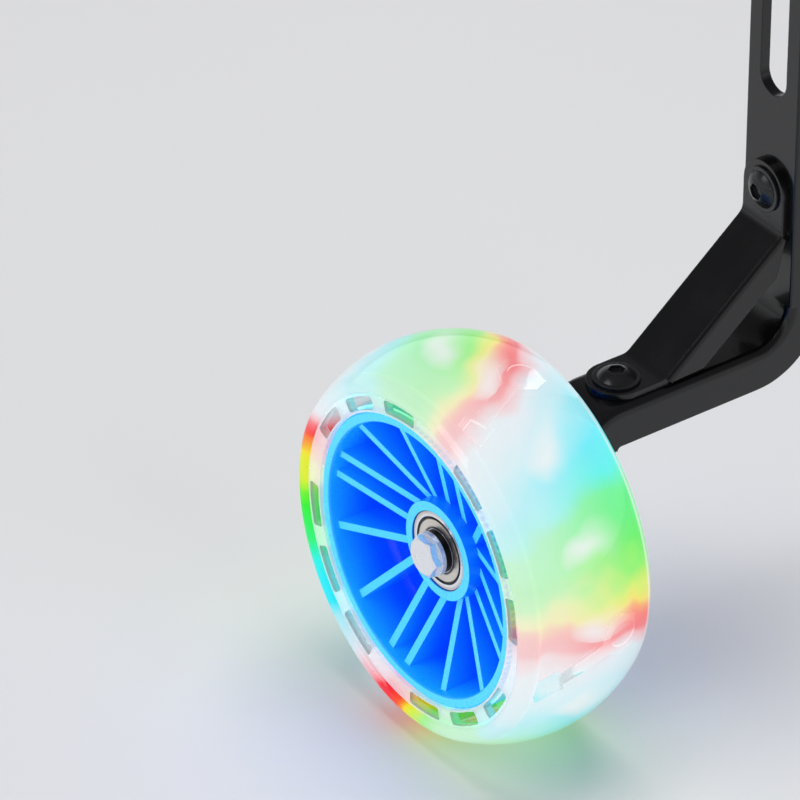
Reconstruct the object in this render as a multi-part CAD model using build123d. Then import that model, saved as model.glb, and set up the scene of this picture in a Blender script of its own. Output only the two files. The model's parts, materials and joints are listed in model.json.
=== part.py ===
from build123d import *
import os
from math import atan2, cos, degrees, radians, sin, tan

# Training wheel for one side of a child's bicycle, in millimetres.
# X runs along the bicycle, +Y points inboard and +Z up. The origin is the middle of the axle slot, on the
# face of the strap that is clamped against the bicycle.

# Bracket, pressed from one steel strip
sheet = 3.0
strip_width = 20.6
strap_top = 37.0
slot_length = 50.0
slot_width = 10.5
arm_top = -94.4
bend_r = 10.0
knee_r = 12.5
flange_depth = 11.2
flange_fold_r = 2.6
strap_edge_r = 0.6
strap_flange_end = -49.2
strap_flange_full = -69.2
plate_flange_end = -112.2
plate_flange_full = -106.2
plate_setback = 27.4
bolt_hole_r = 3.2

# Diagonal brace across the bracket's bend
brace_sheet = 2.0
brace_width = 18.0
brace_fold_r = 1.7
brace_bend_r = 4.0
brace_high_z = -62.2
brace_low_y = -42.2
brace_flange = 8.0
brace_shoulder = 0.5
brace_flange_run_in = 9.0
tab_width = 16.0
tab_corner_r = 7.95
upper_bolt_z = -52.3
lower_bolt_y = -51.7

# Wheel
wheel_y = -97.6
wheel_z = -123.2
tyre_r = 54.3
tyre_width = 45.4
tyre_shoulder = 8.0
tyre_crown = 7.6
tyre_edge_r = 1.8
tyre_bore_r = 44.5
hub_r = 40.3
hub_width = 37.2
rim_wall = 3.0
rim_draft = 0.5
lip_round = 0.9
web = 4.0
web_fillet = 3.0
boss_r = 13.6
boss_height = 11.1
rib_width = 2.2
rib_inner_z = 7.3
rib_outer_z = 16.6
rib_root = 1.0
rib_tip = 0.9
rib_axes = (30, 120, 210, 300)
v_foot_angle = 5.0
v_tip_angle = 15.0
pair_angle = 45.0
pair_gap = 7.2

# Clear ring between hub and tyre, with the lamps in its channel
ring_width = 38.4
ring_sleeve = 1.3
ring_flange = 2.4
ring_flange_r = 45.3
window_inner_r = 40.9
window_outer_r = 44.6
window_corner_r = 0.9
window_angle = 17.0
window_pitch = 24.5
module_angles = (77, 167, 257, 347)
lamp_steps = {"red": 12.0, "green": 34.0, "blue": 65.0}
lamp_size = 5.0
lamp_height = 1.7
board = 0.6
board_width = 9.0
board_start = -8.0
board_sweep = 78.0
lead_r = 0.7
lead_bore_r = 0.9
holder_top_r = 46.5
holder_play = 0.1
holder_neck = 4.0
holder_eye = 11.0
holder_eye_hole_r = 3.6
holder_eye_place = (-9.6, -4.5)
holder_pocket = 7.5
holder_pocket_hole = 4.5
holder_pocket_place = (10.4, 4.5)

# Ball bearings, 22 x 8 x 7 mm
bearing_r = 11.0
bearing_bore_r = 4.0
bearing_width = 7.0
bearing_gap = 7.5
ball_r = 1.98
ball_count = 7
pitch_r = 7.5
groove_play = 0.1
outer_shoulder_r = 8.95
inner_shoulder_r = 6.05
shield_seat_r = 9.35
shield_hole_r = 6.3
shield = 0.3
shield_recess = 0.1
shield_step = 0.6
cage_half_wall = 0.6
cage_rim = 0.55

# Axle, generator and fasteners, all with M6 thread
thread_r = 3.0
hex_top_share = 0.95
clear_r = 3.2
flats = 10.0
axle_head = 2.4
axle_length = 60.0
sleeve_flange_r = 5.8
sleeve_flange = 1.8
axle_washer = 1.2
washer_r = 6.0
washer = 1.6
bush_r = 6.0
spring_washer = 1.6
spring_washer_r = 5.3
spring_washer_gap = 0.8
spring_washer_slant = 20.0
nut_height = 5.0
nut_collar = 1.6
nut_collar_r = 4.4
nut_collar_round = 0.8
spacer_r = 5.2
magnet_r = 6.8
magnet_length = 5.8
bobbin_bore_r = 7.3
bobbin_core_r = 8.0
bobbin_r = 9.5
bobbin_length = 6.8
bobbin_cheek = 1.2
winding_margin = 0.2
head_washer_r = 6.3
head_washer = 0.7
button_r = 5.2
button_height = 2.2
socket_flats = 4.0
socket_depth = 1.4
brace_bolt_length = 14.0

strap_front = -sheet
half_strip = strip_width / 2
half_tyre = tyre_width / 2
bearing_inner_z = bearing_gap / 2
bearing_outer_z = bearing_inner_z + bearing_width
plate_front = wheel_y + plate_setback
WHEEL = Plane(origin=(0, wheel_y, wheel_z), x_dir=(1, 0, 0), z_dir=(0, -1, 0))

nodes = {}


def turned(*points):
    """A solid turned about the local Z axis from a closed outline of (radius, height) points."""
    return revolve(Plane.XZ * make_face(Polyline(*points, close=True)), Axis.Z)


def tube(outer, inner, bottom, top):
    """A ring between two radii and two heights."""
    return turned((inner, bottom), (outer, bottom), (outer, top), (inner, top))


def side_face(edges):
    """A face in the bracket's side view, drawn with (Y, Z) points."""
    return Plane.YZ * make_face(edges)


def side_polygon(*points):
    return side_face(Polyline(*points, close=True))


def band(rail, near, far):
    """The side view of a strip whose faces lie at two depths behind its front line."""
    front = rail(near)
    back = rail(far)
    caps = [Line(front @ 0, back @ 0), Line(front @ 1, back @ 1)]
    return side_face([*front.edges(), *back.edges(), *caps])


def across(face, width):
    """The side view given a width, evenly to both sides of the middle plane."""
    return extrude(face, amount=width / 2, dir=(1, 0, 0), both=True)


def front_edges(solid, rail):
    """The edges that bound the front face of a pressed strip along its length."""
    line = Plane.YZ * rail(0)
    found = []
    for edge in solid.edges():
        runs = [edge.position_at(t) for t in (0, 0.5, 1)]
        on_front = all(line.distance_to(Vector(0, p.Y, p.Z)) < 1e-4 for p in runs)
        if on_front and abs(edge.tangent_at(0.5).X) < 0.99:
            found.append(edge)
    return found


def hexagon(across_flats, height):
    return extrude(RegularPolygon(across_flats / 2, 6, major_radius=False), height)


def hex_block(across_flats, height, chamfered_top=True):
    """A hexagon whose corners are turned away by a 30 degree cone at the top."""
    corner = across_flats / 2 / cos(radians(30))
    top_r = across_flats / 2 * hex_top_share
    drop = (corner - top_r) * tan(radians(30))
    block = hexagon(across_flats, height)
    if chamfered_top:
        block &= turned((0, 0), (corner, 0), (corner, height - drop), (top_r, height), (0, height))
    return block


def at(radius, angle):
    """A point in the wheel's plane, its angle counted from +X towards +Z."""
    return Vector(radius * cos(radians(angle)), radius * sin(radians(angle)))


def radial_rod(radius, angle, inner, outer):
    """A round rod that points away from the wheel's axis."""
    place = Plane(origin=at(inner, angle), z_dir=at(1, angle))
    return extrude(place * Circle(radius), outer - inner)


# Bracket


def bracket_rail(depth):
    """The front line of the strip, from the top of the strap to the foot of the wheel plate."""
    strap_y = strap_front + depth
    arm_z = arm_top - depth
    plate_y = plate_front + depth
    foot = wheel_z - half_strip
    corners = ((strap_y, strap_top), (strap_y, arm_z), (plate_y, arm_z), (plate_y, foot))
    return FilletPolyline(*corners, radius=[bend_r + depth, knee_r - depth])


def make_bracket():
    clear = 40.0
    flange_y = strap_front + flange_depth
    plate_flange_y = plate_front + flange_depth
    flange_zone = side_polygon(
        (strap_front - bend_r, strap_flange_end),
        (0, strap_flange_end),
        (flange_y, strap_flange_full),
        (flange_y + clear, strap_flange_full),
        (flange_y + clear, wheel_z),
        (plate_flange_y, wheel_z),
        (plate_flange_y, plate_flange_full),
        (plate_front + sheet, plate_flange_end),
        (plate_front - clear, plate_flange_end),
        (plate_front - clear, arm_top + bend_r),
        (strap_front - bend_r, arm_top + bend_r),
    )
    strip = band(bracket_rail, 0, sheet) + (band(bracket_rail, 0, flange_depth) & flange_zone)
    body = across(strip, strip_width)
    height = strap_top - wheel_z + half_strip
    plan = Plane.XZ * Pos(0, strap_top - height / 2) * SlotOverall(height, strip_width, rotation=90)
    body &= extrude(plan, amount=2 * abs(wheel_y), both=True)
    bend_start = Plane.XY.offset(arm_top + bend_r)
    strap = split(body, bend_start, keep=Keep.TOP)
    strap = fillet(front_edges(strap, bracket_rail), strap_edge_r)
    arm = split(body, bend_start, keep=Keep.BOTTOM)
    arm = fillet(front_edges(arm, bracket_rail), flange_fold_r)
    body = strap + arm
    body -= across(band(bracket_rail, sheet, flange_depth + 1), strip_width - 2 * sheet)
    slot = Plane.XZ * SlotOverall(slot_length, slot_width, rotation=90)
    body -= extrude(slot, amount=2 * sheet, both=True)
    hole = Cylinder(bolt_hole_r, 6 * sheet)
    body -= Pos(0, 0, upper_bolt_z) * Rot(90, 0, 0) * hole
    body -= Pos(0, lower_bolt_y, arm_top) * hole
    body -= Pos(0, plate_front, wheel_z) * Rot(90, 0, 0) * hole
    return body


nodes["bracket"] = make_bracket()


# Brace

brace_high = Vector(strap_front - brace_sheet, brace_high_z)
brace_low = Vector(brace_low_y, arm_top + brace_sheet)
brace_run = (brace_low - brace_high).length
brace_along = (brace_low - brace_high).normalized()
brace_back = Vector(-brace_along.Y, brace_along.X)


def brace_rail(depth):
    """The front line of the brace: a tab on the strap, the slope, and a tab on the arm."""
    high_y = brace_high.X + depth
    low_z = brace_low.Y - depth
    high_z = brace_high.Y + depth * (1 - brace_back.X) / brace_back.Y
    low_y = brace_low.X + depth * (1 + brace_back.Y) / brace_back.X
    top = (high_y, upper_bolt_z + tab_width / 2)
    end = (lower_bolt_y - tab_width / 2, low_z)
    return FilletPolyline(top, (high_y, high_z), (low_y, low_z), end, radius=brace_bend_r + depth)


def on_slope(along, behind):
    """A side-view point given by its place along the slope and behind its front face."""
    point = brace_high + brace_along * along + brace_back * behind
    return (point.X, point.Y)


def make_brace():
    clear = 4.0
    slope_zone = side_polygon(
        on_slope(brace_shoulder, -clear),
        on_slope(brace_shoulder, brace_sheet + clear),
        on_slope(brace_run - brace_shoulder, brace_sheet + clear),
        on_slope(brace_run - brace_shoulder, -clear),
    )
    flange_zone = side_polygon(
        on_slope(1, 0),
        on_slope(1, brace_sheet),
        on_slope(brace_flange_run_in, brace_flange),
        on_slope(brace_run - brace_flange_run_in, brace_flange),
        on_slope(brace_run - 1, brace_sheet),
        on_slope(brace_run - 1, 0),
    )
    strip = band(brace_rail, 0, brace_sheet)
    slope = (strip & slope_zone) + (band(brace_rail, 0, brace_flange) & flange_zone)
    wide = across(slope, brace_width)
    wide = fillet(front_edges(wide, brace_rail), brace_fold_r)
    wide -= across(band(brace_rail, brace_sheet, brace_flange + 1), brace_width - 2 * brace_sheet)
    tabs = across(strip, tab_width)
    tab_corners = [
        edge
        for edge in tabs.edges()
        if abs(edge.length - brace_sheet) < 1e-4 and abs(edge.tangent_at(0.5).X) < 0.01
    ]
    tabs = fillet(tab_corners, tab_corner_r)
    body = wide + tabs
    hole = Cylinder(bolt_hole_r, 6 * sheet)
    body -= Pos(0, strap_front, upper_bolt_z) * Rot(90, 0, 0) * hole
    body -= Pos(0, lower_bolt_y, arm_top) * hole
    return body


nodes["brace"] = make_brace()


# Fasteners of the brace, each made with its head up the local Z axis

UPPER_BOLT = Plane(origin=(0, strap_front - brace_sheet, upper_bolt_z), x_dir=(1, 0, 0), z_dir=(0, -1, 0))
LOWER_BOLT = Plane(origin=(0, lower_bolt_y, arm_top + brace_sheet), x_dir=(1, 0, 0), z_dir=(0, 0, 1))


def on_both(solid):
    """The same fastener on the strap and on the arm."""
    return Compound([UPPER_BOLT * solid, LOWER_BOLT * solid])


def hex_nut():
    """A plain hexagon nut standing on the local origin."""
    block = hex_block(flats, nut_height)
    return block - Cylinder(thread_r, 3 * nut_height)


def make_button_bolt():
    """A button-head bolt, its head standing on a washer."""
    dome_r = (button_r**2 + button_height**2) / (2 * button_height)
    dome = Pos(0, 0, button_height - dome_r) * Sphere(dome_r)
    head = dome & Cylinder(button_r, button_height, align=(Align.CENTER, Align.CENTER, Align.MIN))
    head -= Pos(0, 0, button_height - socket_depth) * hexagon(socket_flats, socket_depth)
    shank = Cylinder(thread_r, brace_bolt_length, align=(Align.CENTER, Align.CENTER, Align.MAX))
    return Pos(0, 0, head_washer) * (head + shank)


brace_grip = brace_sheet + sheet
nodes["brace_bolts"] = on_both(make_button_bolt())
nodes["brace_head_washers"] = on_both(tube(head_washer_r, clear_r, 0, head_washer))
nodes["brace_nut_washers"] = on_both(tube(washer_r, clear_r, -brace_grip - washer, -brace_grip))
nodes["brace_nuts"] = on_both(Pos(0, 0, -brace_grip - washer) * Rot(180, 0, 0) * hex_nut())


# Axle, made along the wheel's local Z axis, which points outboard


def make_axle_bolt():
    under_head = bearing_outer_z + sleeve_flange + axle_washer
    head = Pos(0, 0, under_head) * hex_block(flats, axle_head)
    shank = Cylinder(thread_r, axle_length, align=(Align.CENTER, Align.CENTER, Align.MAX))
    return head + Pos(0, 0, under_head) * shank


def make_sleeve():
    """A flanged tube that carries both bearings on the thinner bolt."""
    top = bearing_outer_z + sleeve_flange
    return turned(
        (clear_r, -bearing_outer_z),
        (bearing_bore_r, -bearing_outer_z),
        (bearing_bore_r, bearing_outer_z),
        (sleeve_flange_r, bearing_outer_z),
        (sleeve_flange_r, top),
        (clear_r, top),
    )


def make_spring_washer(bottom):
    """A split ring washer, with its ends cut on a slant."""
    ring = tube(spring_washer_r, clear_r, bottom, bottom + spring_washer)
    cut = Box(
        2 * spring_washer_r,
        spring_washer_gap,
        4 * spring_washer,
        align=(Align.MIN, Align.CENTER, Align.CENTER),
    )
    return ring - Pos(0, 0, bottom + spring_washer / 2) * Rot(spring_washer_slant, 0, 0) * cut


def make_lock_nut(top):
    """A hexagon nut with a round collar, which holds the nylon ring."""
    block = hex_block(flats, nut_height, chamfered_top=False)
    collar = tube(nut_collar_r, thread_r, nut_height, nut_height + nut_collar)
    collar = fillet(collar.edges().group_by(Axis.Z)[-1].sort_by(SortBy.RADIUS)[-1:], nut_collar_round)
    nut = block + collar - Cylinder(thread_r, 4 * nut_height)
    return Pos(0, 0, top) * Rot(180, 0, 0) * nut


plate_outer_z = wheel_y - plate_front
plate_inner_z = plate_outer_z - sheet
sleeve_top = bearing_outer_z + sleeve_flange
nodes["axle_bolt"] = WHEEL * make_axle_bolt()
nodes["axle_head_washer"] = WHEEL * tube(washer_r, clear_r, sleeve_top, sleeve_top + axle_washer)
nodes["axle_sleeve"] = WHEEL * make_sleeve()
nodes["bearing_spacer"] = WHEEL * tube(spacer_r, bearing_bore_r, -bearing_inner_z, bearing_inner_z)
nodes["standoff_bush"] = WHEEL * tube(bush_r, clear_r, plate_outer_z, -bearing_outer_z)
nodes["plate_washer"] = WHEEL * tube(washer_r, clear_r, plate_inner_z - washer, plate_inner_z)
nodes["spring_washer"] = WHEEL * make_spring_washer(plate_inner_z - washer - spring_washer)
nodes["lock_nut"] = WHEEL * make_lock_nut(plate_inner_z - washer - spring_washer)


# Bearings


def make_races(centre):
    """The outer and the inner ring of one bearing, with the balls' groove turned into both."""
    half = bearing_width / 2
    shield_z = half - 2 * shield - shield_recess
    groove = Torus(pitch_r, ball_r + groove_play)
    outer = turned(
        (bearing_r, -half),
        (bearing_r, half),
        (shield_seat_r, half),
        (shield_seat_r, shield_z),
        (outer_shoulder_r, shield_z),
        (outer_shoulder_r, -shield_z),
        (shield_seat_r, -shield_z),
        (shield_seat_r, -half),
    )
    inner = tube(inner_shoulder_r, bearing_bore_r, -half, half)
    return [Pos(0, 0, centre) * (ring - groove) for ring in (outer, inner)]


def make_shield(centre, side):
    """A pressed cover, stepped down at its edge where it is held in the outer ring."""
    seat = bearing_width / 2 - 2 * shield - shield_recess
    step = shield_seat_r - shield_step
    cover = turned(
        (shield_hole_r, seat + shield),
        (step - shield, seat + shield),
        (step - shield, seat),
        (shield_seat_r, seat),
        (shield_seat_r, seat + shield),
        (step, seat + shield),
        (step, seat + 2 * shield),
        (shield_hole_r, seat + 2 * shield),
    )
    if side < 0:
        cover = mirror(cover, Plane.XY)
    return Pos(0, 0, centre) * cover


def make_balls(centre):
    places = PolarLocations(pitch_r, ball_count)
    return Compound([Pos(0, 0, centre) * place * Sphere(ball_r) for place in places])


def make_cage(centre):
    """A ring with a round pocket for each ball."""
    half_height = ball_r + cage_rim
    cage = tube(pitch_r + cage_half_wall, pitch_r - cage_half_wall, -half_height, half_height)
    for ball in range(ball_count):
        angle = 360 / ball_count * ball
        cage -= radial_rod(ball_r + groove_play, angle, inner_shoulder_r, outer_shoulder_r)
    return Pos(0, 0, centre) * cage


bearing_centre = bearing_inner_z + bearing_width / 2
for bearing, centre in (("outboard", bearing_centre), ("inboard", -bearing_centre)):
    outer_race, inner_race = make_races(centre)
    nodes[f"{bearing}_bearing_outer_race"] = WHEEL * outer_race
    nodes[f"{bearing}_bearing_inner_race"] = WHEEL * inner_race
    nodes[f"{bearing}_bearing_balls"] = WHEEL * make_balls(centre)
    nodes[f"{bearing}_bearing_cage"] = WHEEL * make_cage(centre)
    for face, side in (("outboard", 1), ("inboard", -1)):
        nodes[f"{bearing}_bearing_{face}_shield"] = WHEEL * make_shield(centre, side)


# Generator between the bearings


def make_bobbin():
    cheek_z = bobbin_length / 2 - bobbin_cheek
    return turned(
        (bobbin_bore_r, -bobbin_length / 2),
        (bobbin_r, -bobbin_length / 2),
        (bobbin_r, -cheek_z),
        (bobbin_core_r, -cheek_z),
        (bobbin_core_r, cheek_z),
        (bobbin_r, cheek_z),
        (bobbin_r, bobbin_length / 2),
        (bobbin_bore_r, bobbin_length / 2),
    )


winding_z = bobbin_length / 2 - bobbin_cheek
winding_r = bobbin_r - winding_margin
nodes["generator_magnet"] = WHEEL * tube(magnet_r, spacer_r, -magnet_length / 2, magnet_length / 2)
nodes["coil_bobbin"] = WHEEL * make_bobbin()
nodes["coil_winding"] = WHEEL * tube(winding_r, bobbin_core_r, -winding_z, winding_z)


# Hub, moulded in one piece


def make_hub_body():
    """Rim, web and boss, turned from one section."""
    lip = hub_width / 2
    rim_inner = hub_r - rim_wall
    half_web = web / 2
    boss_foot = boss_r + rim_draft
    half_section = [
        (hub_r, lip),
        (rim_inner, lip),
        (rim_inner - rim_draft, half_web),
        (boss_foot, half_web),
        (boss_r, boss_height),
        (bearing_r, boss_height),
        (bearing_r, bearing_inner_z),
        (bobbin_r, bearing_inner_z),
    ]
    mirrored = [(radius, -height) for radius, height in reversed(half_section)]
    section = make_face(Polyline(*half_section, *mirrored, close=True))
    corners = section.vertices()
    web_corners = [v for v in corners if abs(abs(v.Y) - half_web) < 1e-6]
    section = fillet(web_corners, web_fillet)
    lips = [v for v in section.vertices() if abs(abs(v.Y) - lip) < 1e-6]
    section = fillet(lips, lip_round)
    return revolve(Plane.XZ * section, Axis.Z)


def make_rib(start, end):
    """A thin wall that stands on the web and rises from the boss to just under the lip."""
    run = end - start
    upright = Plane(origin=start, x_dir=run, z_dir=run.cross(Vector(0, 0, 1)))
    outline = Polyline((0, 0), (run.length, 0), (run.length, rib_outer_z), (0, rib_inner_z), close=True)
    return extrude(upright * make_face(outline), amount=rib_width / 2, both=True)


def make_ribs():
    """Round the boss, in turn: the two legs of a V and a pair of parallel ribs."""
    foot = boss_r - rib_root
    tip = hub_r - rim_wall + rib_tip
    aside = pair_gap / 2
    ribs = []
    for axis in rib_axes:
        pair = axis + pair_angle
        for hand in (1, -1):
            ribs.append(make_rib(at(foot, axis + v_foot_angle * hand), at(tip, axis + v_tip_angle * hand)))
            middle = at(aside * hand, pair + 90)
            near = middle + at((foot**2 - aside**2) ** 0.5, pair)
            far = middle + at((tip**2 - aside**2) ** 0.5, pair)
            ribs.append(make_rib(near, far))
    return ribs


def make_hub():
    hub = make_hub_body()
    ribs = make_ribs()
    hub += ribs
    hub += [mirror(rib, Plane.XY) for rib in ribs]
    for angle in module_angles:
        hub -= radial_rod(lead_bore_r, angle, bobbin_r - 1, hub_r + 1)
    return hub


nodes["hub"] = WHEEL * make_hub()


# Clear ring with its windows, and the tyre round it


def sector(inner, outer, angle, sweep):
    """A flat piece of a ring, centred on an angle."""
    first = angle - sweep / 2
    last = angle + sweep / 2
    outline = [
        CenterArc((0, 0), outer, first, sweep),
        Line(at(outer, last), at(inner, last)),
        CenterArc((0, 0), inner, first, sweep),
        Line(at(inner, first), at(outer, first)),
    ]
    return make_face(outline)


def make_light_ring():
    half = ring_width / 2
    sleeve_r = hub_r + ring_sleeve
    body = turned(
        (hub_r, -half),
        (ring_flange_r, -half),
        (ring_flange_r, ring_flange - half),
        (sleeve_r, ring_flange - half),
        (sleeve_r, half - ring_flange),
        (ring_flange_r, half - ring_flange),
        (ring_flange_r, half),
        (hub_r, half),
    )
    for module in module_angles:
        for step in (-1, 0, 1):
            window = sector(window_inner_r, window_outer_r, module + 45 + step * window_pitch, window_angle)
            window = fillet(window.vertices(), window_corner_r)
            for flange in (half, ring_flange - half):
                body -= Pos(0, 0, flange - ring_flange) * extrude(window, ring_flange)
        body -= radial_rod(lead_bore_r, module, hub_r - 1, sleeve_r + 1)
    return body


def make_tyre():
    """A rounded band, its bore stepped over the clear ring's flanges."""
    inner = hub_r - tyre_shoulder
    edge = tyre_r - tyre_crown
    outline = [
        ThreePointArc((edge, half_tyre), (tyre_r, 0), (edge, -half_tyre)),
        Polyline((edge, -half_tyre), (inner, -half_tyre), (inner, half_tyre), (edge, half_tyre)),
    ]
    section = make_face(outline)
    shoulders = section.vertices().group_by(Axis.X)[-1]
    section = fillet(shoulders, tyre_shoulder)
    channel = ring_width - 2 * ring_flange
    section -= Pos(inner, 0) * Rectangle(2 * (tyre_bore_r - inner), channel)
    for side in (1, -1):
        seat = Rectangle(2 * (ring_flange_r - inner), tyre_width - channel)
        section -= Pos(inner, side * tyre_width / 2) * seat
    edges = [v for v in section.vertices() if abs(v.X - ring_flange_r) < 1e-4 and abs(v.Y) > ring_width / 2]
    section = fillet(edges, tyre_edge_r)
    body = revolve(Plane.XZ * section, Axis.Z)
    for module in module_angles:
        body -= holder_block(module, holder_recess(), holder_top_r + holder_play)
    return body


# Lamps, four alike sets of a holder, a board, three lamps and a lead

sleeve_r = hub_r + ring_sleeve
board_r = sleeve_r + board


def holder_outline():
    """An eye near the inboard side and a pocket near the outboard side, joined by a slanted neck."""
    eye = Vector(*holder_eye_place)
    pocket = Vector(*holder_pocket_place)
    run = pocket - eye
    turn = Rot(0, 0, degrees(atan2(run.Y, run.X)))
    middle = (eye + pocket) / 2
    outline = Pos(*eye) * RegularPolygon(holder_eye / 2, 8, major_radius=False)
    outline += Pos(*pocket) * turn * Rectangle(holder_pocket, holder_pocket)
    outline += Pos(*middle) * turn * Rectangle(run.length, holder_neck)
    return outline


def holder_recess():
    return offset(holder_outline(), holder_play)


def holder_block(module, outline, top_r):
    """The holder's outline raised between the lamp board and a radius, at one lamp set."""
    place = Plane(origin=at(hub_r, module), x_dir=(0, 0, 1), z_dir=at(1, module))
    block = extrude(place * outline, tyre_r - hub_r)
    return block & tube(top_r, board_r, -ring_width / 2, ring_width / 2)


def make_holder(module):
    run = Vector(*holder_pocket_place) - Vector(*holder_eye_place)
    turn = Rot(0, 0, degrees(atan2(run.Y, run.X)))
    outline = holder_outline()
    outline -= Pos(*holder_eye_place) * Circle(holder_eye_hole_r)
    outline -= Pos(*holder_pocket_place) * turn * Rectangle(holder_pocket_hole, holder_pocket_hole)
    return holder_block(module, outline, holder_top_r)


def make_board(module):
    strip = sector(sleeve_r, board_r, module + board_start + board_sweep / 2, board_sweep)
    return extrude(strip, amount=board_width / 2, both=True)


def make_lamp(angle):
    """A square lamp that stands on the board and faces outwards."""
    place = Plane(origin=at(sleeve_r, angle), x_dir=(0, 0, 1), z_dir=at(1, angle))
    block = extrude(place * Rectangle(lamp_size, lamp_size), board + lamp_height)
    return block - Cylinder(board_r, 2 * lamp_size)


nodes["light_ring"] = WHEEL * make_light_ring()
nodes["tyre"] = WHEEL * make_tyre()
for number, module in enumerate(module_angles, start=1):
    nodes[f"lamp_holder_{number}"] = WHEEL * make_holder(module)
    nodes[f"lamp_board_{number}"] = WHEEL * make_board(module)
    for colour, step in lamp_steps.items():
        nodes[f"{colour}_lamp_{number}"] = WHEEL * make_lamp(module + step)
    nodes[f"lamp_lead_{number}"] = WHEEL * radial_rod(lead_r, module, winding_r, sleeve_r)


os.makedirs("parts", exist_ok=True)
for name, shape in nodes.items():
    export_step(shape, f"parts/{name}.step")
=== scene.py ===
import json
import math

import bmesh
import bpy
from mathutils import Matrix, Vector


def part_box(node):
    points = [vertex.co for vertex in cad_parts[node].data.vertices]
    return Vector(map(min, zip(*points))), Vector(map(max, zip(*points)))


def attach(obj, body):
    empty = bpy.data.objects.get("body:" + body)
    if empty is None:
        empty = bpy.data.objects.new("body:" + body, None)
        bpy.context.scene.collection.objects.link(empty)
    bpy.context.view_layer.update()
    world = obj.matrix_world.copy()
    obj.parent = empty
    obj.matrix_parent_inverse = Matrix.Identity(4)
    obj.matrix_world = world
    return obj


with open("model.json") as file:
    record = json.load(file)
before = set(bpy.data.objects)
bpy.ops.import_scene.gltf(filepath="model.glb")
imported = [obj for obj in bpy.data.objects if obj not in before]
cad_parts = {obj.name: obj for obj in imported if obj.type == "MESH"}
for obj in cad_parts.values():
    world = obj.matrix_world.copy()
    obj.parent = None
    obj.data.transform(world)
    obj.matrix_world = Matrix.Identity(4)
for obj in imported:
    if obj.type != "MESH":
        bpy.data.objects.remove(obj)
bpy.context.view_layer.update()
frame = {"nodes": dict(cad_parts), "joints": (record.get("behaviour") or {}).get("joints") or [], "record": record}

# The part is in metres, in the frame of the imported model: X along the bicycle, +Y inboard and +Z up.
MM = 0.001
nodes = frame["nodes"]
spin = next(joint for joint in frame["joints"] if joint["name"] == "wheel_spin")
wheel_centre = Vector(spin["pos_m"])


def turned_size(node):
    """The radius and half the width of a node that is turned about the axle."""
    low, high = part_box(node)
    return (high.x - low.x) / 2, (high.y - low.y) / 2


tyre_r, tyre_half = turned_size("tyre")
hub_r, hub_half = turned_size("hub")
ring_r, ring_half = turned_size("light_ring")
bearing_r = turned_size("outboard_bearing_outer_race")[0]
glow_inner_r = ring_r + 0.2 * MM
holder_top_r = ring_r + 1.2 * MM

# The lamps light the tyre in four equal quarters, each starting beside a lamp set.
lamp_sets = 4
first_set_angle = math.radians(82)
quarter = math.tau / lamp_sets


def srgb(red, green, blue):
    """A colour given as display values from 0 to 255, in linear light."""
    values = [channel / 255 for channel in (red, green, blue)]
    return tuple(v / 12.92 if v <= 0.04045 else ((v + 0.055) / 1.055) ** 2.4 for v in values)


# Node trees


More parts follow.
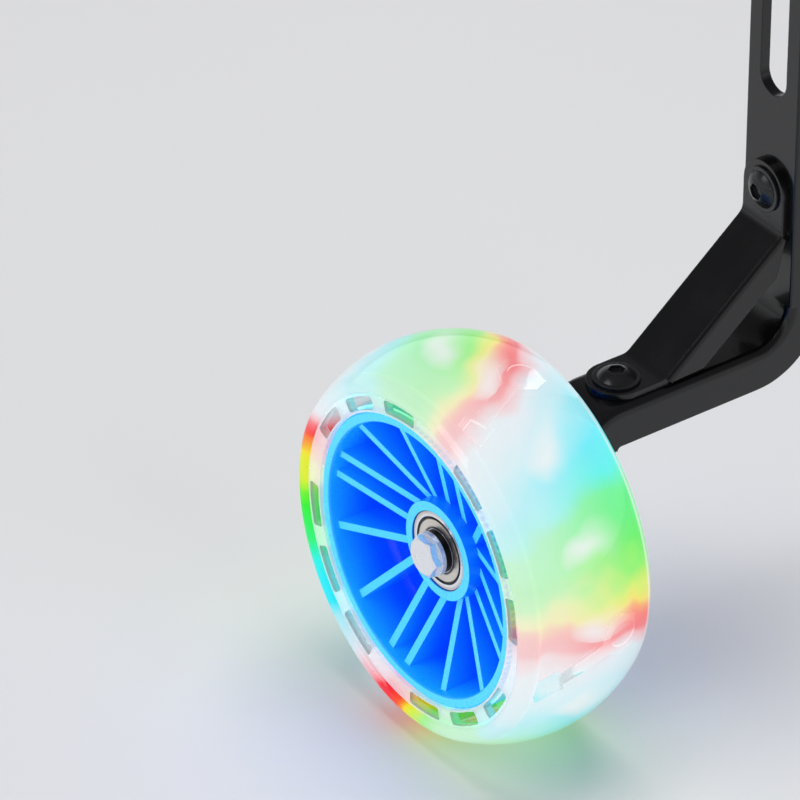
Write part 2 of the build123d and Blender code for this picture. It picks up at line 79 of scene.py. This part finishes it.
class Paint:
    """A material and short ways to add nodes to it."""

    def __init__(self, name, **sockets):
        self.material = bpy.data.materials.new(name)
        self.material.use_nodes = True
        self.tree = self.material.node_tree
        self.shader = self.tree.nodes["Principled BSDF"]
        self.put(self.shader, sockets)

    def put(self, node, sockets):
        for name, value in sockets.items():
            socket = node.inputs[name.replace("_", " ")]
            if isinstance(value, bpy.types.NodeSocket):
                self.tree.links.new(value, socket)
            elif isinstance(value, tuple) and socket.type == "RGBA":
                socket.default_value = (*value, 1.0)
            else:
                socket.default_value = value

    def node(self, kind, **settings):
        made = self.tree.nodes.new(kind)
        for name, value in settings.items():
            setattr(made, name, value)
        return made

    def math(self, operation, first, second=0.0, third=0.0, clamp=False):
        made = self.node("ShaderNodeMath", operation=operation, use_clamp=clamp)
        for socket, value in zip(made.inputs, (first, second, third)):
            if isinstance(value, bpy.types.NodeSocket):
                self.tree.links.new(value, socket)
            else:
                socket.default_value = value
        return made.outputs[0]

    def smooth(self, value, low, high, start=0.0, end=1.0):
        """A soft step of a value between two limits."""
        made = self.node("ShaderNodeMapRange", interpolation_type="SMOOTHSTEP")
        self.put(made, {"Value": value, "From_Min": low, "From_Max": high, "To_Min": start, "To_Max": end})
        return made.outputs["Result"]

    def mix(self, factor, first, second):
        made = self.node("ShaderNodeMix", data_type="RGBA")
        for socket, value in zip((made.inputs[0], made.inputs[6], made.inputs[7]), (factor, first, second)):
            if isinstance(value, bpy.types.NodeSocket):
                self.tree.links.new(value, socket)
            elif isinstance(value, tuple):
                socket.default_value = (*value, 1.0)
            else:
                socket.default_value = value
        return made.outputs[2]

    def ramp(self, value, stops):
        """Colours along a value from 0 to 1, given as (place, colour) pairs."""
        made = self.node("ShaderNodeValToRGB")
        band = made.color_ramp
        while len(band.elements) < len(stops):
            band.elements.new(0.5)
        for element, (place, colour) in zip(band.elements, stops):
            element.position = place
            element.color = (*colour, 1.0)
        self.put(made, {"Fac": value})
        return made.outputs["Color"]

    def place(self):
        return self.node("ShaderNodeTexCoord").outputs["Object"]

    def noise(self, scale, detail=3.0, vector=None):
        made = self.node("ShaderNodeTexNoise")
        self.put(made, {"Vector": vector or self.place(), "Scale": scale, "Detail": detail})
        return made.outputs["Fac"]

    def sway(self, scale, amount, detail=3.0):
        """Noise evenly to both sides of zero."""
        return self.math("MULTIPLY", self.math("SUBTRACT", self.noise(scale, detail), 0.5), amount)

    def square(self, value):
        return self.math("MULTIPLY", value, value)

    def bell(self, squared, fall=1.0):
        """A soft spot that fades with the square of a distance."""
        return self.math("EXPONENT", self.math("MULTIPLY", squared, -fall))

    def sideways(self):
        """How squarely a surface faces along the axle, from 0 to 1."""
        parts = self.node("ShaderNodeSeparateXYZ")
        self.put(parts, {"Vector": self.node("ShaderNodeTexCoord").outputs["Normal"]})
        return self.math("ABSOLUTE", parts.outputs["Y"])

    def soften(self, radius):
        """Rounds the look of sharp edges."""
        edge = self.node("ShaderNodeBevel", samples=6)
        self.put(edge, {"Radius": radius})
        self.put(self.shader, {"Normal": edge.outputs["Normal"]})
        return edge.outputs["Normal"]

    def bump(self, height, strength, distance, over=None):
        made = self.node("ShaderNodeBump")
        self.put(made, {"Height": height, "Strength": strength, "Distance": distance})
        if over:
            self.put(made, {"Normal": over})
        self.put(self.shader, {"Normal": made.outputs["Normal"]})

    def uneven(self, colour, share, scale):
        """A colour that is a little darker in patches."""
        dark = tuple(channel * (1 - share) for channel in colour)
        self.put(self.shader, {"Base_Color": self.mix(self.noise(scale), dark, colour)})

    def worn(self, low, high, scale):
        """Roughness that changes a little over the surface."""
        self.put(self.shader, {"Roughness": self.smooth(self.noise(scale), 0.3, 0.7, low, high)})

    def wheel_place(self):
        """The height along the axle, outboard positive, the radius and the angle, from the wheel's middle."""
        shift = self.node("ShaderNodeVectorMath", operation="SUBTRACT")
        self.put(shift, {"Vector": self.place()})
        shift.inputs[1].default_value = wheel_centre
        parts = self.node("ShaderNodeSeparateXYZ")
        self.put(parts, {"Vector": shift.outputs["Vector"]})
        x, y, z = parts.outputs
        height = self.math("MULTIPLY", y, -1.0)
        radius = self.math("SQRT", self.math("ADD", self.square(x), self.square(z)))
        angle = self.math("ARCTAN2", z, x)
        return height, radius, angle

    def quarter_place(self, angle):
        """How far an angle lies through its quarter of the wheel, from 0 at a lamp set to 1 at the next."""
        turned = self.math("SUBTRACT", angle, first_set_angle - math.tau)
        return self.math("FRACT", self.math("DIVIDE", turned, quarter))


# Finishes of the metal parts


def black_paint():
    paint = Paint("black_paint", Specular_IOR_Level=0.3, Coat_Weight=0.3, Coat_Roughness=0.06)
    paint.uneven((0.004, 0.004, 0.0045), 0.3, 60.0)
    paint.worn(0.18, 0.28, 90.0)
    paint.bump(paint.noise(900.0, 2.0), 0.05, 0.2 * MM, paint.soften(0.5 * MM))
    return paint.material


def black_bolt():
    paint = Paint("black_bolt", Specular_IOR_Level=0.5)
    paint.uneven((0.008, 0.008, 0.009), 0.4, 200.0)
    paint.worn(0.2, 0.34, 250.0)
    paint.soften(0.3 * MM)
    return paint.material


def plated(name, colour, rough, scale=350.0, metallic=1.0):
    """A metal with faint clouds in its plating."""
    paint = Paint(name, Metallic=metallic)
    paint.uneven(colour, 0.05, scale)
    paint.worn(rough - 0.04, rough + 0.04, scale)
    paint.bump(paint.noise(scale * 3, 2.0), 0.012, 0.05 * MM, paint.soften(0.25 * MM))
    return paint.material


def turned_steel(name, bands, rough, groove=0.18 * MM):
    """Bearing steel with fine rings round the axle, in bands given as (share of the radius, colour)."""
    paint = Paint(name, Metallic=1.0)
    paint.worn(rough - 0.04, rough + 0.06, 500.0)
    height, radius, angle = paint.wheel_place()
    share = paint.math("ADD", paint.math("DIVIDE", radius, bearing_r), paint.sway(400.0, 0.02))
    paint.put(paint.shader, {"Base_Color": paint.ramp(share, bands)})
    rings = paint.math("SINE", paint.math("MULTIPLY", radius, math.tau / groove))
    paint.bump(rings, 0.08, 0.02 * MM, paint.soften(0.2 * MM))
    return paint.material


def copper_wire():
    """Turns of thin lacquered wire, side by side along the axle."""
    wire = 0.35 * MM
    paint = Paint("copper_wire", Metallic=0.9, Coat_Weight=0.6)
    paint.uneven((0.62, 0.25, 0.11), 0.3, 500.0)
    paint.worn(0.25, 0.4, 400.0)
    height, radius, angle = paint.wheel_place()
    turns = paint.math("SINE", paint.math("MULTIPLY", height, math.tau / wire))
    paint.bump(turns, 0.6, 0.12 * MM)
    return paint.material


def plain_plastic(name, colour, rough=0.45):
    paint = Paint(name)
    paint.uneven(colour, 0.12, 250.0)
    paint.worn(rough - 0.08, rough + 0.08, 300.0)
    paint.bump(paint.noise(1500.0, 2.0), 0.05, 0.1 * MM)
    return paint.material


# Finishes of the wheel


def hub_blue():
    """Blue plastic with a painted glow, painted shade that deepens it towards the web, and a painted highlight
    that makes high faces that face outwards pale cyan.
    """
    paint = Paint("hub_blue", Specular_IOR_Level=0.4, Emission_Strength=0.3)
    height, radius, angle = paint.wheel_place()
    rise = paint.math("DIVIDE", paint.math("ABSOLUTE", height), hub_half)
    # Painted shade: deep blue low in the dish by the web, paler towards the rim.
    walls_painted_shade = paint.ramp(
        paint.math("ADD", rise, paint.sway(120.0, 0.1)),
        ((0.08, srgb(0, 76, 240)), (0.4, srgb(2, 104, 252)), (0.95, srgb(22, 168, 255))),
    )
    # Painted highlight: pale cyan on high faces that point along the axle.
    highlight_facing = paint.smooth(paint.sideways(), 0.7, 0.9)
    high = paint.smooth(rise, 0.25, 0.4)
    colour = paint.mix(paint.math("MULTIPLY", highlight_facing, high), walls_painted_shade, srgb(78, 218, 255))
    # The hub's colour is also given as a faint painted glow.
    paint.put(paint.shader, {"Base_Color": colour, "Emission_Color": colour})
    paint.worn(0.22, 0.34, 180.0)
    paint.bump(paint.noise(1200.0, 2.0), 0.03, 0.1 * MM, paint.soften(0.4 * MM))
    return paint.material


# The lamps' colours round one quarter, and how far through it the three lamps stand
glow_stops = (
    (0.0, srgb(246, 88, 94)),
    (0.035, srgb(250, 104, 86)),
    (0.07, srgb(249, 158, 78)),
    (0.105, srgb(244, 226, 76)),
    (0.145, srgb(216, 238, 80)),
    (0.19, srgb(130, 242, 82)),
    (0.26, srgb(76, 240, 80)),
    (0.43, srgb(84, 244, 140)),
    (0.52, srgb(62, 243, 232)),
    (0.62, srgb(84, 236, 250)),
    (0.72, srgb(184, 236, 246)),
    (0.86, srgb(222, 232, 240)),
    (0.935, srgb(244, 176, 182)),
    (0.97, srgb(246, 98, 104)),
)
lamp_places = (0.05, 0.29, 0.68)
white_glow = srgb(240, 242, 243)

# Each lamp's pale spot: its reach along a quarter and across the tyre, its place across and how pale it is
spot_along = 0.11
spot_across = 11 * MM
spot_height = -1 * MM
spot_fall = 1.6
spot_paleness = 0.85

# How far the light is washed out towards white, from the inboard to the outboard edge of the tyre. Round the
# outboard edge the washing out is a painted highlight on one side only, and on the other side the colours are
# deepened as painted shade.
wash_stops = ((0.0, 0.0), (0.2, 0.08), (0.42, 0.26), (0.66, 0.5), (0.85, 0.55), (1.0, 0.6))
# The angle of the side with the painted highlight, the cosines from that side between which the painted highlight
# gives way to the painted shade, and how much the painted shade deepens the colours.
painted_highlight_side = math.radians(35)
painted_highlight_from = -0.3
painted_shade_from = -0.6
painted_shade_saturation = 1.3

# The colours come later at the front of the bicycle, and they lean as they cross the tyre, in radians to a
# metre of its width: everywhere, more towards the rear, and most at the top
lag_ahead = math.radians(4)
lean_all = 1.4
lean_rear = 4.0
lean_top = 13.0


def light_place(paint, height, angle):
    """How far a place lies through its quarter of the light, with the colours' lean and some drift."""
    ahead = paint.math("COSINE", angle)
    top = paint.math("MAXIMUM", paint.math("MULTIPLY", paint.math("SINE", angle), lean_top), 0.0)
    rear = paint.math("MULTIPLY", ahead, -lean_rear)
    lean = paint.math("ADD", top, paint.math("ADD", rear, lean_all))
    late = paint.math("MULTIPLY", paint.math("MAXIMUM", ahead, 0.0), -lag_ahead)
    drift = paint.math("ADD", paint.sway(48.0, 0.3 * quarter, 2.0), late)
    turned = paint.math("ADD", paint.math("MULTIPLY", lean, height), drift)
    return paint.quarter_place(paint.math("ADD", angle, turned))


def lamp_light(paint):
    """The lamps' own colours at a place on the wheel, deepened as painted shade on one side of its outboard edge,
    and the same washed out towards white, partly as a painted highlight on the other side.
    """
    height, radius, angle = paint.wheel_place()
    through = light_place(paint, height, angle)
    toward_highlight_side = paint.math("COSINE", paint.math("SUBTRACT", angle, painted_highlight_side))
    outboard = paint.smooth(height, 0.0, 0.6 * tyre_half)
    plain = paint.ramp(through, glow_stops)
    deep = paint.node("ShaderNodeHueSaturation")
    paint.put(deep, {"Color": plain, "Saturation": painted_shade_saturation})
    # Painted shade: deeper colours round the outboard edge on the side away from the painted highlight.
    painted_shade_share = paint.math("MULTIPLY", outboard, paint.smooth(toward_highlight_side, painted_highlight_from, painted_shade_from))
    colour = paint.mix(painted_shade_share, plain, deep.outputs["Color"])

    aside = paint.square(paint.math("DIVIDE", paint.math("SUBTRACT", height, spot_height), spot_across))
    spots = None
    for place in lamp_places:
        along = paint.square(paint.math("DIVIDE", paint.math("SUBTRACT", through, place), spot_along))
        spot = paint.bell(paint.math("ADD", along, aside), spot_fall)
        spots = spot if spots is None else paint.math("MAXIMUM", spots, spot)
    across = paint.math("ADD", paint.math("DIVIDE", height, 2 * tyre_half), 0.5)
    bands = paint.ramp(across, [(place, (wash, wash, wash)) for place, wash in wash_stops])
    # Painted highlight: round the outboard edge the washing out stays only on the highlight side.
    painted_highlight_keep = paint.mix(outboard, (1.0, 1.0, 1.0), paint.smooth(toward_highlight_side, painted_shade_from, painted_highlight_from))
    wash = paint.math("MULTIPLY", bands, painted_highlight_keep)
    paleness = paint.math("MAXIMUM", paint.math("MULTIPLY", spots, spot_paleness), wash)
    return colour, paint.mix(paleness, colour, white_glow)


def glow():
    """The light inside the tyre: dimmer where it faces the lamps, with a painted highlight as a pale line along
    the inboard edge.
    """
    line_inset = 1.5 * MM
    line_width = 0.5 * MM
    highlight_line_paleness = 0.7
    paint = Paint("tyre_glow", Base_Color=(0.02, 0.02, 0.02))
    height, radius, angle = paint.wheel_place()
    outside = paint.smooth(radius, glow_inner_r + 0.05 * MM, glow_inner_r + 0.3 * MM)
    past_ring = paint.smooth(paint.math("ABSOLUTE", height), ring_half - 0.5 * MM, ring_half)
    level = paint.smooth(paint.math("MAXIMUM", outside, past_ring), 0.0, 1.0, 0.6, 1.0)
    # Painted highlight: a pale line just inside the inboard edge of the tyre.
    from_line = paint.math("DIVIDE", paint.math("ADD", height, tyre_half - line_inset), line_width)
    line = paint.math("MULTIPLY", paint.bell(paint.square(from_line)), highlight_line_paleness)
    plain, washed = lamp_light(paint)
    colour = paint.mix(outside, plain, paint.mix(line, washed, white_glow))
    paint.put(paint.shader, {"Emission_Color": colour, "Emission_Strength": level})
    paint.worn(0.5, 0.7, 100.0)
    return paint.material


def clear_polyurethane():
    paint = Paint("clear_polyurethane", Base_Color=(1.0, 1.0, 1.0), Transmission_Weight=1.0, IOR=1.45)
    paint.worn(0.03, 0.07, 40.0)
    paint.bump(paint.noise(60.0, 1.0), 0.015, 0.3 * MM)
    return paint.material


def clear_ring():
    """Clear plastic: pale faces, greyer and dimmer window sides as painted shade, and the lamps' own colours in
    the channel behind.
    """
    paint = Paint("clear_ring", Transmission_Weight=0.35, IOR=1.45)
    height, radius, angle = paint.wheel_place()
    upright = paint.smooth(paint.sideways(), 0.7, 0.3)
    past_sleeve = paint.smooth(radius, hub_r + 0.25 * MM, hub_r + 0.5 * MM)
    inside_rim = paint.smooth(radius, ring_r - 0.3 * MM, ring_r - 0.5 * MM)
    # Painted shade: the upright sides of the windows are grey and glow less.
    window_wall_shade = paint.math("MULTIPLY", upright, paint.math("MULTIPLY", past_sleeve, inside_rim))
    cloudy = paint.mix(paint.noise(150.0), (0.85, 0.89, 0.9), (0.9, 0.94, 0.96))
    paint.put(paint.shader, {"Base_Color": paint.mix(window_wall_shade, cloudy, (0.46, 0.56, 0.56))})
    face = paint.smooth(paint.math("ABSOLUTE", height), 0.92 * ring_half, 0.98 * ring_half)
    tinted, washed = lamp_light(paint)
    pale = paint.mix(paint.smooth(radius, hub_r, ring_r, 0.95, 0.75), tinted, white_glow)
    face_level = paint.smooth(face, 0.0, 1.0, 0.5, 0.16)
    level = paint.math("MULTIPLY", face_level, paint.smooth(window_wall_shade, 0.0, 1.0, 1.0, 0.4))
    paint.put(paint.shader, {"Emission_Color": paint.mix(face, tinted, pale), "Emission_Strength": level})
    paint.worn(0.15, 0.28, 200.0)
    return paint.material


def clear_holder():
    """Clear plastic that takes the light's colour on top and is bright along its edges."""
    paint = Paint("clear_holder", Emission_Strength=1.0, Base_Color=(0.05, 0.05, 0.05))
    height, radius, angle = paint.wheel_place()
    top = paint.smooth(radius, holder_top_r - 0.12 * MM, holder_top_r - 0.04 * MM)
    plain, washed = lamp_light(paint)
    edges = paint.mix(0.6, washed, (1.0, 0.98, 0.98))
    paint.put(paint.shader, {"Emission_Color": paint.mix(top, edges, washed)})
    paint.worn(0.3, 0.4, 200.0)
    return paint.material


def lamp(name, colour):
    """A lit lamp, whiter in patches."""
    paint = Paint(name, Roughness=0.3, Emission_Strength=1.0)
    paint.uneven(colour, 0.2, 400.0)
    lit = paint.mix(paint.noise(300.0), colour, white_glow)
    paint.put(paint.shader, {"Emission_Color": lit})
    return paint.material


# Rings of colour on the bearings, by their share of the bearing's radius. The near-black outermost rings of race
# and shield are painted shade, the brightest ring of the race is a painted highlight, and the shield is darker
# towards its inner edge.
race_tones_shade_and_highlight = (
    (0.5, (0.6, 0.59, 0.58)),
    (0.86, (0.92, 0.91, 0.9)),
    (0.9, (0.92, 0.91, 0.9)),
    (0.93, (0.72, 0.66, 0.66)),
    (0.965, (0.72, 0.66, 0.66)),
    (0.985, (0.06, 0.06, 0.07)),
)
shield_tones_and_shade = (
    (0.58, (0.3, 0.27, 0.23)),
    (0.62, (0.82, 0.75, 0.64)),
    (0.76, (0.82, 0.75, 0.64)),
    (0.79, (0.05, 0.045, 0.04)),
)
finishes = {
    "black_paint": black_paint(),
    "black_bolt": black_bolt(),
    "zinc": plated("zinc", (0.97, 0.98, 1.0), 0.24, metallic=0.5),
    "dark_steel": plated("dark_steel", (0.02, 0.02, 0.022), 0.34),
    "bearing_steel": turned_steel("bearing_steel", race_tones_shade_and_highlight, 0.14),
    "cage_steel": plated("cage_steel", (0.5, 0.49, 0.47), 0.4),
    "shield_steel": turned_steel("shield_steel", shield_tones_and_shade, 0.34),
    "magnet": plated("magnet", (0.09, 0.09, 0.1), 0.5),
    "bobbin_plastic": plain_plastic("bobbin_plastic", (0.78, 0.77, 0.73)),
    "copper_wire": copper_wire(),
    "hub_blue": hub_blue(),
    "clear_plastic": clear_ring(),
    "clear_polyurethane": clear_polyurethane(),
    "board": plain_plastic("board", (0.72, 0.75, 0.7)),
    "red_lamp": lamp("red_lamp", srgb(255, 60, 50)),
    "green_lamp": lamp("green_lamp", srgb(70, 255, 70)),
    "blue_lamp": lamp("blue_lamp", srgb(60, 190, 255)),
    "lead": plain_plastic("lead", (0.7, 0.7, 0.68)),
}
slot_of = {part["node"]: part["material_slot"] for part in frame["record"]["subparts"]}
holder_finish = clear_holder()
for name, node in nodes.items():
    node.data.materials.clear()
    node.data.materials.append(holder_finish if name.startswith("lamp_holder") else finishes[slot_of[name]])


# Pieces


def add_piece(name, bm, material, body):
    mesh = bpy.data.meshes.new(name)
    bm.to_mesh(mesh)
    bm.free()
    for face in mesh.polygons:
        face.use_smooth = True
    mesh.materials.append(material)
    piece = bpy.data.objects.new(name, mesh)
    bpy.context.scene.collection.objects.link(piece)
    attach(piece, body)
    return piece


def lathe(section, steps):
    """A closed ring turned about the axle from (radius, height) points in order."""
    bm = bmesh.new()
    rings = []
    for step in range(steps):
        angle = math.tau * step / steps
        ring = []
        for radius, height in section:
            offset = Vector((radius * math.cos(angle), -height, radius * math.sin(angle)))
            ring.append(bm.verts.new(wheel_centre + offset))
        rings.append(ring)
    for here, there in zip(rings, rings[1:] + rings[:1]):
        for start in range(len(section)):
            end = (start + 1) % len(section)
            bm.faces.new((here[start], here[end], there[end], there[start]))
    bmesh.ops.recalc_face_normals(bm, faces=bm.faces)
    return bm


def make_glow():
    """A thin lit sleeve inside the clear tyre, with a bead close under each of the tyre's edges."""
    # Points of a bead: how far out from the ring and how far in from the tyre's side, in millimetres
    bead = (
        (0.45, 1.8),
        (0.85, 0.85),
        (1.8, 0.45),
        (2.7, 0.8),
        (3.5, 1.9),
        (3.9, 3.7),
        (3.0, 5.4),
        (0.7, 7.6),
    )
    outboard = [(ring_r + out * MM, tyre_half - within * MM) for out, within in bead]
    inboard = [(radius, -height) for radius, height in reversed(outboard)]
    sleeve_half = tyre_half - 3.0 * MM
    section = outboard + inboard + [(glow_inner_r, -sleeve_half), (glow_inner_r, sleeve_half)]
    return add_piece("tyre_glow", lathe(section, 256), glow(), "wheel")


make_glow()


# Stage


def make_floor():
    half = 8.0
    height = wheel_centre.z - tyre_r
    bm = bmesh.new()
    corners = [(-half, -half), (half, -half), (half, half), (-half, half)]
    bm.faces.new([bm.verts.new((x, y, height)) for x, y in corners])
    mesh = bpy.data.meshes.new("floor")
    bm.to_mesh(mesh)
    bm.free()
    paint = Paint("floor", Specular_IOR_Level=0.25)
    paint.uneven((0.8, 0.8, 0.812), 0.04, 2.0)
    paint.worn(0.5, 0.6, 3.0)
    mesh.materials.append(paint.material)
    floor = bpy.data.objects.new("floor", mesh)
    bpy.context.scene.collection.objects.link(floor)


def make_world():
    """Soft light, brightest at the horizon and the same for every ray, so it is the background too."""
    world = bpy.data.worlds.new("studio")
    bpy.context.scene.world = world
    world.use_nodes = True
    tree = world.node_tree
    place = tree.nodes.new("ShaderNodeTexCoord")
    parts = tree.nodes.new("ShaderNodeSeparateXYZ")
    tree.links.new(place.outputs["Generated"], parts.inputs[0])
    fade = tree.nodes.new("ShaderNodeValToRGB")
    fade.color_ramp.elements[0].position = 0.1
    fade.color_ramp.elements[0].color = (0.85, 0.86, 0.88, 1.0)
    fade.color_ramp.elements[1].position = 0.5
    fade.color_ramp.elements[1].color = (0.16, 0.16, 0.17, 1.0)
    tree.links.new(parts.outputs["Z"], fade.inputs["Fac"])
    tree.links.new(fade.outputs["Color"], tree.nodes["Background"].inputs["Color"])


def add_light(name, place, size, watts, aim=(0.0, -0.05, -0.08), mirrored=True):
    light = bpy.data.lights.new(name, "AREA")
    light.shape = "RECTANGLE"
    light.size, light.size_y = size
    light.energy = watts
    lamp_object = bpy.data.objects.new(name, light)
    lamp_object.location = place
    lamp_object.rotation_euler = (Vector(aim) - Vector(place)).to_track_quat("-Z", "Y").to_euler()
    lamp_object.visible_camera = False
    lamp_object.visible_glossy = mirrored
    bpy.context.scene.collection.objects.link(lamp_object)


def make_camera():
    """The photograph's view: a long lens from the front right, above the wheel."""
    azimuth = math.radians(53.9)
    elevation = math.radians(33.5)
    level = math.cos(elevation)
    forward = Vector((-math.sin(azimuth) * level, math.cos(azimuth) * level, -math.sin(elevation)))
    camera = bpy.data.objects.new("camera", bpy.data.cameras.new("camera"))
    camera.data.sensor_width = 36.0
    camera.data.lens = 290.5
    camera.location = (1.0869, -0.9131, 0.818)
    camera.rotation_euler = forward.to_track_quat("-Z", "Y").to_euler()
    bpy.context.scene.collection.objects.link(camera)
    bpy.context.scene.camera = camera


def make_lights():
    """Plain soft lamps."""
    add_light("top", (-0.2, 0.2, 2.2), (1.6, 1.6), 34.0, aim=(0.0, 0.0, -0.1), mirrored=False)
    add_light("key", (-0.4, -1.75, 1.6), (1.1, 1.5), 13.0, aim=(0.0, -0.08, -0.08))
    add_light("side", (1.7, 0.1, 0.85), (0.9, 1.2), 5.0, mirrored=False)


make_floor()
make_world()
make_lights()
make_camera()
bpy.context.scene.view_settings.view_transform = "Standard"
